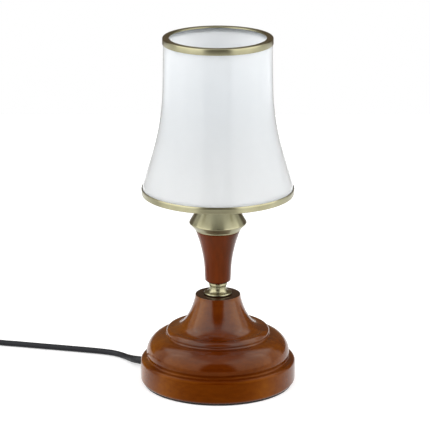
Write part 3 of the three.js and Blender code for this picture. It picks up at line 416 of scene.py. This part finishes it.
cast_iron, nodes, links, surface = surface_of("cast iron", roughness=0.7, metallic=0.6)
pits = pattern_on(nodes, links, scale=350)
tinted(nodes, links, pits, surface, [(0.3, (40, 41, 43)), (0.7, (78, 78, 80))])
embossed(nodes, links, pits, surface, strength=0.7, depth=0.0006)

zinc_steel, nodes, links, surface = surface_of("zinc plated steel", roughness=0.35, metallic=1.0)
spangle = pattern_on(nodes, links, scale=120)
tinted(nodes, links, spangle, surface, [(0.3, (166, 168, 172)), (0.7, (198, 200, 204))])
roughened(nodes, links, spangle, surface, low=0.25, high=0.42)

finished(cast_iron, "ballast_disc")
finished(zinc_steel, "lamp_pipe", "lower_washer", "lower_nut", "upper_washer", "upper_nut")

# Neck
# A small brass spool between base and stem: a round-edged foot, a hollow waist and a short head. Like
# all the lamp's brass it has a dull antique tone and is polished round and round on the lathe.
brass, nodes, links, surface = surface_of("antique brass", roughness=0.24, metallic=1.0)
cloudy = pattern_on(nodes, links, scale=45, detail=5.0)
tinted(nodes, links, cloudy, surface,
       [(0.3, (143, 139, 111)), (0.55, (153, 149, 121)), (0.75, (163, 159, 131))])
roughened(nodes, links, cloudy, surface, low=0.26, high=0.34)
surface.inputs["Anisotropic"].default_value = 0.8
surface.inputs["Anisotropic Rotation"].default_value = 0.25
turning = nodes.new("ShaderNodeTangent")
turning.direction_type = "RADIAL"
turning.axis = "Z"
links.new(turning.outputs["Tangent"], surface.inputs["Tangent"])
rings = pattern_on(nodes, links, scale=1500, detail=2.0, stretch=(0.01, 0.01, 1))
embossed(nodes, links, rings, surface, strength=0.05, depth=0.0001)

neck_outline = [
    (5.3, 88.7), (12.4, 88.7),
    *arc(12.4, 89.7, 1.0, 1.0, -80, 80, 10),
    *flowing([(12.0, 90.75), (10.6, 91.2), (9.3, 92.1), (8.4, 93.5), (8.1, 95.0), (8.1, 96.4),
              (8.3, 97.2)]),
    (8.7, 97.6), (8.8, 98.2), (8.8, 99.9), (5.3, 99.9),
]
brass_neck = turned("brass_neck", neck_outline, brass)
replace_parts(brass_neck, "neck")

# Stem
# A turned hardwood stem with a chamfered foot. It swells in one hollow sweep up to the cup, and has the
# same stain and lacquer as the base.
stem_wood = lacquered_wood("stem wood", (1, 1, 0.14), [
    (0.34, (58, 11, 0)), (0.45, (76, 19, 0)), (0.56, (90, 27, 0)), (0.67, (110, 43, 4))])[0]
stem_outline = [
    (5.3, 100.2), (9.2, 100.2), (9.5, 100.4), (12.1, 102.3),
    *flowing([(12.32, 102.8), (12.4, 104.5), (12.56, 107.4), (12.7, 111.4), (12.9, 115.4),
              (13.24, 119.4), (13.77, 123.5), (14.4, 127.5), (15.2, 131.5), (16.1, 135.5),
              (17.1, 139.5), (18.3, 143.5), (19.7, 147.5), (21.1, 151.9)], 3),
    (20.9, 152.3), (5.3, 152.3),
]
turned_stem = turned("turned_stem", stem_outline, stem_wood)
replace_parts(turned_stem, "stem")

# Cup
# A spun brass double cone that stands on the stem and hides the lampholder's foot. A narrow edge runs
# between its cones, and the upper nut clamps its flat floor.
cup_outline = [
    (5.3, 152.6), (21.4, 152.6), (21.9, 152.9), (21.8, 153.6), (22.2, 154.0),
    (26.9, 159.0), (27.3, 159.5), (27.4, 160.0), (27.0, 160.9),
    (18.6, 175.3), (18.2, 175.9), (17.6, 175.9),
    (26.1, 160.3), (26.1, 159.6), (21.0, 153.9), (5.3, 153.5),
]
brass_cup = turned("brass_cup", cup_outline, brass)
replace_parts(brass_cup, "cup")

# Lampholder
# A white small-screw lampholder: a cap on the lamp pipe, and a sleeve with an outside thread and a
# flange. The heat-proof insulator inside carries the brass screw shell and the centre contact.
white_plastic = moulded("white plastic", (222, 219, 208), (236, 234, 226),
                        rough=0.32, grain=800, strength=0.1)
bright_brass, nodes, links, surface = surface_of("bright brass", roughness=0.25, metallic=1.0)
cloudy = pattern_on(nodes, links, scale=90)
tinted(nodes, links, cloudy, surface, [(0.3, (196, 166, 96)), (0.7, (222, 194, 122))])
roughened(nodes, links, cloudy, surface, low=0.18, high=0.32)

cap_outline = [
    (5.3, 165.8), (10.0, 165.8), *arc(11.2, 168.8, 3.0, 3.0, -75, 0, 8), (14.2, 184.4),
    (14.2, 186.3), (12.9, 186.3), (12.9, 168.8), (11.6, 167.1), (8.0, 167.1), (8.0, 173.8),
    (5.3, 173.8),
]
holder_cap = turned("holder_cap", cap_outline, white_plastic, steps=96)
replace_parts(holder_cap, "lampholder_cap")

thread_radius, thread_depth = 13.9, 0.5
thread_foot, half_pitch, half_turns = 196.5, 0.9, 18
thread = [(thread_radius - thread_depth * (i % 2), thread_foot + half_pitch * i)
          for i in range(half_turns)]
sleeve_outline = [
    (10.4, 186.6), (17.0, 186.6), (17.0, 189.1), (13.9, 189.1), *thread, (13.4, 213.2),
    (13.2, 214.1), (12.4, 214.1), (12.4, 188.1), (10.4, 188.1),
]
holder_sleeve = turned("holder_sleeve", sleeve_outline, white_plastic,
                       steps=96, easing=0)
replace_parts(holder_sleeve, "lampholder_sleeve")
finished(white_plastic, "lampholder_insulator")
finished(bright_brass, "lampholder_screw_shell", "lampholder_contact")

# Bulb
# A frosted candle bulb with a small screw cap of plated steel. Its glass is a thin closed shell.
frosted, nodes, links, surface = surface_of("frosted glass", roughness=0.35)
haze = pattern_on(nodes, links, scale=500)
tinted(nodes, links, haze, surface, [(0.3, (238, 236, 230)), (0.7, (248, 247, 243))])
embossed(nodes, links, haze, surface, strength=0.1, depth=0.0001)
surface.inputs["Transmission Weight"].default_value = 0.35
surface.inputs["Subsurface Weight"].default_value = 0.2

bulb_side = flowing([(6.1, 213.0), (7.6, 218.0), (11.2, 227.0), (15.4, 237.0), (17.4, 246.0),
                     (16.9, 257.0), (14.4, 269.0), (10.4, 280.0), (5.8, 288.8), (2.6, 292.0),
                     (0, 293.0)])
wall_across, wall_along = 0.9, 0.4
bulb_inside = [(max(radius - wall_across, 0), height - wall_along)
               for radius, height in bulb_side[1:]]
bulb = turned("candle_bulb", [*bulb_side, *reversed(bulb_inside[:-1]), (5.2, 213.0)], frosted,
              steps=72, easing=0)
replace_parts(bulb, "bulb_glass")
finished(zinc_steel, "bulb_cap", "bulb_tip_contact")

# Shade nut and spider
# A flat brass spider carries the shade: its centre ring lies on the lampholder's flange, and its three
# arms end on the rolled-in lip of the bottom ring. A ribbed ring nut on the holder holds it down.


def eased_copy(node, name, material, easing, body="lamp"):
    """A CAD node's own shape as a new piece, merged and with its hard edges eased."""
    bm = bmesh.new()
    bm.from_mesh(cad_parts[node].data)
    bmesh.ops.remove_doubles(bm, verts=bm.verts, dist=merge_distance)
    bmesh.ops.dissolve_limit(bm, angle_limit=math.radians(1), verts=bm.verts, edges=bm.edges)
    eased(bm, easing, sharper_than=35, segments=3)
    piece = smooth_piece(name, bm, material, body)
    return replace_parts(piece, node)


eased_copy("shade_spider", "brass_spider", brass, easing=0.00025)

nut_steps, steps_per_rib = 96, 4
nut_outer_wall, groove_scale = 0.0195, 0.965
ring_nut = turned("ring_nut", [(14.2, 190.9), (20.6, 190.9), (20.6, 195.4), (14.2, 195.4)],
                  white_plastic, steps=nut_steps)
for vertex in ring_nut.data.vertices:
    step = round(math.atan2(vertex.co.y, vertex.co.x) / (2 * math.pi / nut_steps))
    if vertex.co.xy.length > nut_outer_wall and step % steps_per_rib < steps_per_rib // 2:
        vertex.co.xy *= groove_scale
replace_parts(ring_nut, "shade_nut")

# Shade's bottom ring
# A spun brass band with soft shoulders. Below it has a lip rolled in, and inside a ledge for the glass.
bottom_ring_outline = [
    (68.5, 188.3), (71.2, 188.3),
    *flowing([(71.9, 188.35), (72.25, 188.7), (72.35, 189.8), (72.45, 191.2), (72.6, 192.4),
              (72.65, 193.3), (72.5, 194.2), (72.3, 194.7)], 3),
    (72.1, 194.8), (72.1, 192.5), (67.0, 192.5), (67.0, 191.7), (71.1, 191.7), (71.1, 189.1),
    (68.5, 189.1),
]
bottom_ring = turned("bottom_ring", bottom_ring_outline, brass, steps=192, easing=0)
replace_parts(bottom_ring, "shade_bottom_ring")

# Glass shade
# One blown and cut piece of white opal glass, 3 mm thick and open at both ends. Its wall is nearly
# straight at the top and flares out towards the foot. Both rims are ground.
opal, nodes, links, surface = surface_of("opal glass", roughness=0.09)
cloudy = pattern_on(nodes, links, scale=14, detail=3.0)
tinted(nodes, links, cloudy, surface, [(0.3, (221, 229, 236)), (0.7, (225, 233, 240))])
ripple = pattern_on(nodes, links, scale=22, detail=1.0, stretch=(1, 1, 0.5))
embossed(nodes, links, ripple, surface, strength=0.03, depth=0.002)
surface.inputs["Specular IOR Level"].default_value = 0.19
surface.inputs["Subsurface Weight"].default_value = 1.0
surface.inputs["Subsurface Radius"].default_value = (1, 1, 1)
surface.inputs["Subsurface Scale"].default_value = 0.03

glass_side = flowing([(71.75, 193.2), (71.1, 197.4), (69.9, 201.4), (66.9, 211.2), (63.9, 221.0),
                      (61.0, 231.0), (58.5, 240.5), (56.4, 250.0), (54.7, 260.0), (53.4, 270.0),
                      (52.5, 279.0), (52.05, 289.0), (51.85, 298.0), (51.7, 308.0), (51.5, 323.0),
                      (51.25, 338.7)], 3)
glass_thickness = 3
glass_inside = [(radius - glass_thickness, height) for radius, height in glass_side]
glass_outline = [
    *glass_side, (50.9, 339.1), (48.6, 339.1), *reversed(glass_inside),
    (69.1, 192.8), (71.4, 192.8),
]
glass_shade = turned("glass_shade", glass_outline, opal, steps=192, easing=0)
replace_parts(glass_shade, "shade_glass")

# Shade's top ring
# A spun brass cap over the top rim of the glass, with a rounded outer edge and a short lip inside.
top_ring_outline = [
    (51.6, 333.9), (52.0, 333.9), (52.1, 334.1), (52.1, 338.8),
    *arc(51.2, 339.0, 0.9, 0.9, 5, 88, 6),
    (46.3, 339.9), (45.8, 339.6), (45.7, 339.2), (45.7, 338.7), (46.2, 338.7), (46.2, 339.4),
    (51.6, 339.4),
]
top_ring = turned("top_ring", top_ring_outline, brass, steps=192, easing=0)
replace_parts(top_ring, "shade_top_ring")

# Gland, grip, lead and wires
# A moulded strain relief sits in the side of the foot: a flanged bush, and a sleeve that tapers along
# the cord. A grip inside takes the pull, and two insulated wires go up the pipe to the lampholder.
black_plastic = moulded("black plastic", (15, 16, 19), (24, 25, 29),
                        rough=0.42, grain=1000, strength=0.3, gloss=0.3)

along_x = Matrix.Rotation(math.pi / 2, 4, "Y")
along_gland = (Matrix.Translation((0, 0, gland_height))
               @ Matrix.Rotation(gland_angle, 4, "Z") @ along_x)
gland_outline = [(3.2, 51.0), (4.1, 51.0), (4.1, 74.8), (5.4, 74.8), (5.4, 76.3), (4.6, 76.8),
                 (3.2, 76.8)]
gland = turned("gland", gland_outline, black_plastic,
               steps=48, place=along_gland)
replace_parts(gland, "cord_gland")

relief_path = [
    on_gland_axis(0.0765), on_gland_axis(0.0800), on_gland_axis(0.0853), on_gland_axis(0.0882),
    (-0.0829, 0.0466, 0.0052), (-0.0850, 0.0498, 0.0047), (-0.0886, 0.0552, 0.0039),
]
relief_radii = [0.0042, 0.0041, 0.0039, 0.0038, 0.0036, 0.0034, 0.0031]
strain_relief = flexible("strain_relief", relief_path, relief_radii, black_plastic)

brown_wire = moulded("brown wire", (84, 48, 28), (98, 58, 36), rough=0.4)
blue_wire = moulded("blue wire", (40, 86, 148), (54, 102, 166), rough=0.4)
finished(black_plastic, "cord_grip")
finished(sheath, "lead_in_base")
finished(brown_wire, "wire_live")
finished(blue_wire, "wire_neutral")

# Inline switch
# A black moulded housing in two halves, joined by two screws. The rocker in its window is smoother and
# a little lighter, and tilts on a steel pin.
rocker_plastic = moulded("rocker plastic", (26, 27, 30), (38, 39, 42),
                         rough=0.3, grain=1200, strength=0.15)
housing_below = eased_copy("switch_base", "switch_housing_below",
                           black_plastic, easing=0.0005)
housing_above = eased_copy("switch_cover", "switch_housing_above",
                           black_plastic, easing=0.0005)
rocker = eased_copy("switch_rocker", "rocker",
                    rocker_plastic, easing=0.0004, body="rocker")
finished(bright_brass, "switch_terminal_in", "switch_terminal_out")
finished(zinc_steel, "switch_rocker_pin", "switch_screw_1", "switch_screw_2")

# Coil's tie
# A flat black hook-and-loop band that holds the loops together on one side of the coil.
band_cloth, nodes, links, surface = surface_of("tie band", roughness=0.9)
loops = pattern_on(nodes, links, scale=1600, detail=2.0)
tinted(nodes, links, loops, surface, [(0.35, (16, 16, 18)), (0.7, (38, 38, 41))])
embossed(nodes, links, loops, surface, strength=0.8, depth=0.0004)
surface.inputs["Sheen Weight"].default_value = 0.2
tie_band = eased_copy("cord_tie", "tie_band", band_cloth, easing=0.00025)

# Mains plug
# A flat moulded two-pin plug. Its pins are nickel-plated brass, with a black sleeve near the body.
plug_moulding = eased_copy("plug_body", "plug_moulding",
                           black_plastic, easing=0.0008)

pin_metal, nodes, links, surface = surface_of("sleeved pin", roughness=0.25)
place = nodes.new("ShaderNodeTexCoord")
along = nodes.new("ShaderNodeSeparateXYZ")
sleeve_end = -0.250
bare = calculated(nodes, "GREATER_THAN", sleeve_end)
links.new(place.outputs["Object"], along.inputs["Vector"])
links.new(along.outputs["X"], bare.inputs[0])
links.new(colours_mixed(nodes, links, bare.outputs["Value"],
                        coloured(26, 27, 29), coloured(206, 204, 196)),
          surface.inputs["Base Color"])
links.new(bare.outputs["Value"], surface.inputs["Metallic"])

plug_rear, plug_middle, plug_height, half_pin_distance = -0.312, 0.02716, 0.00685, 0.0093
pin_outline = [(0, 44.3), (1.9, 44.3), (1.9, 61.5), (2.0, 61.6), (2.0, 69.8), (1.7, 70.5),
               (1.0, 71.0), (0, 71.0)]
for number, side in ((1, -1), (2, 1)):
    along_pin = Matrix.Translation(
        (plug_rear, plug_middle + side * half_pin_distance, plug_height)) @ along_x
    pin = turned(f"pin_{number}", pin_outline, pin_metal,
                 steps=32, easing=0, place=along_pin)
    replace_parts(pin, f"plug_pin_{number}")

# Studio
# The lamp stands on pale paper between two tall soft boxes. Two small boxes behind it add glints and
# leave matt surfaces alone. Two dark cards, one behind the camera and one behind the lamp, give metal
# and lacquer a calm dark streak in the middle and dark edges.
lamp_middle = Vector((0, 0, 0.2))


def stand_in_studio(name, bm, material):
    """The bmesh as a thing of the studio, which is no piece of the lamp."""
    mesh = bpy.data.meshes.new(name)
    bm.to_mesh(mesh)
    bm.free()
    mesh.materials.append(material)
    thing = bpy.data.objects.new(name, mesh)
    bpy.context.scene.collection.objects.link(thing)
    return thing


def seen_directly(nodes, links):
    """1 for what the camera sees, also in gloss and through glass, and 0 for light on the matt."""
    rays = nodes.new("ShaderNodeLightPath")
    camera_or_gloss = calculated(nodes, "ADD")
    any_of_three = calculated(nodes, "ADD")
    any_of_three.use_clamp = True
    links.new(rays.outputs["Is Camera Ray"], camera_or_gloss.inputs[0])
    links.new(rays.outputs["Is Glossy Ray"], camera_or_gloss.inputs[1])
    links.new(camera_or_gloss.outputs["Value"], any_of_three.inputs[0])
    links.new(rays.outputs["Is Transmission Ray"], any_of_three.inputs[1])
    return any_of_three


paper = bpy.data.materials.new("table paper")
paper.use_nodes = True
nodes, links = paper.node_tree.nodes, paper.node_tree.links
nodes.remove(nodes["Principled BSDF"])
matt = nodes.new("ShaderNodeBsdfDiffuse")
matt.inputs["Color"].default_value = (0.8, 0.8, 0.8, 1)
glow = nodes.new("ShaderNodeEmission")
glow.inputs["Strength"].default_value = 0.45
lifted = nodes.new("ShaderNodeAddShader")
chosen = nodes.new("ShaderNodeMixShader")
links.new(matt.outputs["BSDF"], lifted.inputs[0])
links.new(glow.outputs["Emission"], lifted.inputs[1])
links.new(seen_directly(nodes, links).outputs["Value"], chosen.inputs["Fac"])
links.new(matt.outputs["BSDF"], chosen.inputs[1])
links.new(lifted.outputs["Shader"], chosen.inputs[2])
links.new(chosen.outputs["Shader"], nodes["Material Output"].inputs["Surface"])

paper_half_width, paper_half_depth = 1.3, 0.75
paper_middle, paper_drop = 0.3, 0.0002
bm = bmesh.new()
bmesh.ops.create_grid(bm, x_segments=1, y_segments=1, size=1)
bmesh.ops.scale(bm, vec=(paper_half_width, paper_half_depth, 1), verts=bm.verts)
bmesh.ops.translate(bm, vec=(0, paper_middle, -paper_drop), verts=bm.verts)
stand_in_studio("floor", bm, paper)

card_foot = -1.5
for name, distance, half_width, top, tone in (
        ("card_in_front", -3.0, 1.7, 2.9, (0.09, 0.065, 0.04, 1)),
        ("card_behind", 3.0, 4.4, 3.6, (0.2, 0.155, 0.11, 1))):
    dark_cloth, nodes, links, surface = surface_of(name, roughness=1.0)
    surface.inputs["Base Color"].default_value = tone
    surface.inputs["Specular IOR Level"].default_value = 0.0
    bm = bmesh.new()
    bottom = [bm.verts.new((x, distance, card_foot)) for x in (-half_width, half_width)]
    risen = bmesh.ops.extrude_edge_only(bm, edges=[bm.edges.new(bottom)])["geom"]
    bmesh.ops.translate(bm, vec=(0, 0, top - card_foot),
                        verts=[v for v in risen if isinstance(v, bmesh.types.BMVert)])
    card = stand_in_studio(name, bm, dark_cloth)
    card.visible_camera = card.visible_diffuse = card.visible_shadow = False


def soft_box(name, width, height, strength, place, border):
    """A flat light that faces the lamp and fades out towards its borders."""
    light = bpy.data.lights.new(name, "AREA")
    light.shape = "RECTANGLE"
    light.size, light.size_y = width, height
    light.energy = strength * math.pi * width * height
    light.use_nodes = True
    nodes, links = light.node_tree.nodes, light.node_tree.links
    on_box = nodes.new("ShaderNodeNewGeometry")
    across = nodes.new("ShaderNodeSeparateXYZ")
    links.new(on_box.outputs["Parametric"], across.inputs["Vector"])
    fade = calculated(nodes, "MULTIPLY")
    for i, way in enumerate(("X", "Y")):
        from_border = calculated(nodes, "PINGPONG", 0.5)
        eased_in = soft_step(nodes, 0, border[i])
        links.new(across.outputs[way], from_border.inputs[0])
        links.new(from_border.outputs["Value"], eased_in.inputs["Value"])
        links.new(eased_in.outputs["Result"], fade.inputs[i])
    links.new(fade.outputs["Value"], nodes["Emission"].inputs["Strength"])
    box = bpy.data.objects.new(name, light)
    bpy.context.scene.collection.objects.link(box)
    box.location = place
    box.rotation_euler = (lamp_middle - box.location).to_track_quat("-Z", "Y").to_euler()
    box.visible_camera = False
    return box


for side in (-1, 1):
    soft_box("tall_box", width=3.0, height=4.4, strength=1.72,
             place=(side * 1.62, -0.90, 0.95), border=(0.08, 0.28))
    glint_box = soft_box("glint_box", width=1.6, height=1.6, strength=1.3,
                         place=(side * 1.15, 0.53, 1.65), border=(0.3, 0.3))
    glint_box.visible_diffuse = False

world = bpy.data.worlds.new("studio")
bpy.context.scene.world = world
world.use_nodes = True
nodes, links = world.node_tree.nodes, world.node_tree.links
light_on_matt, seen_white = 0.6, 1.0
strength = nodes.new("ShaderNodeMix")
strength.inputs["A"].default_value = light_on_matt
strength.inputs["B"].default_value = seen_white
nodes["Background"].inputs["Color"].default_value = (1, 1, 1, 1)
links.new(seen_directly(nodes, links).outputs["Value"], strength.inputs["Factor"])
links.new(strength.outputs["Result"], nodes["Background"].inputs["Strength"])

bpy.context.scene.view_settings.view_transform = "Standard"
